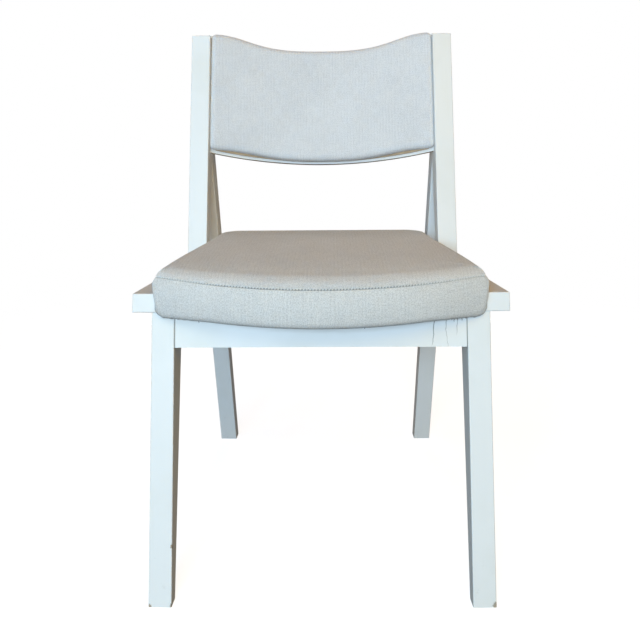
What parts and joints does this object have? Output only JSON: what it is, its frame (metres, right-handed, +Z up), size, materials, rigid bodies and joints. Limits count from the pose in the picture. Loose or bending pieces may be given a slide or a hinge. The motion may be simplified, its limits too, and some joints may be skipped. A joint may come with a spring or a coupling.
{
  "type": "dining side chair",
  "caption": "Armless side chair: splayed wooden legs and rails in A-shaped side frames, padded seat with a bowed front, curved padded backrest between leaning posts.",
  "frame": {"origin": "on the floor, at the centre of the bounding box, midway between left and right and between the front and rear feet", "axes": "+Z up, the chair faces -Y, +X on the right of somebody looking at its front"},
  "size_m": [0.5258, 0.5866, 0.8138],
  "materials": {
    "white_paint": "satin white paint on solid wood",
    "upholstery_fabric": "matte",
    "foam": "matte",
    "dust_cloth": "matte",
    "zinc_steel": "satin",
    "beech": "matte",
    "plywood": "matte",
    "bare_wood": "matte"
  },
  "bodies": {
    "root": {"back_pad_screws": "zinc_steel", "back_post_left": "white_paint", "back_post_right": "white_paint", "backrest_cover": "upholstery_fabric", "backrest_foam": "foam", "backrest_pad_board": "plywood", "backrest_panel": "white_paint", "block_screws": "zinc_steel", "front_apron": "white_paint", "front_apron_dowels": "beech", "front_block_left": "bare_wood", "front_block_right": "bare_wood", "front_leg_dowels": "beech", "front_leg_left": "white_paint", "front_leg_right": "white_paint", "post_foot_dowels": "beech", "rear_apron": "white_paint", "rear_apron_dowels": "beech", "rear_block_left": "bare_wood", "rear_block_right": "bare_wood", "rear_leg_left": "white_paint", "rear_leg_right": "white_paint", "rear_leg_top_dowels": "beech", "seat_board": "plywood", "seat_cleat_left": "bare_wood", "seat_cleat_right": "bare_wood", "seat_cover_band": "upholstery_fabric", "seat_cover_top": "upholstery_fabric", "seat_dust_cover": "dust_cloth", "seat_edge_padding": "foam", "seat_foam": "foam", "seat_front_lip": "plywood", "seat_screws": "zinc_steel", "seat_staples": "zinc_steel", "seat_tee_nuts": "zinc_steel", "side_rail_dowels": "beech", "side_rail_left": "white_paint", "side_rail_right": "white_paint"}
  },
  "joints": []
}
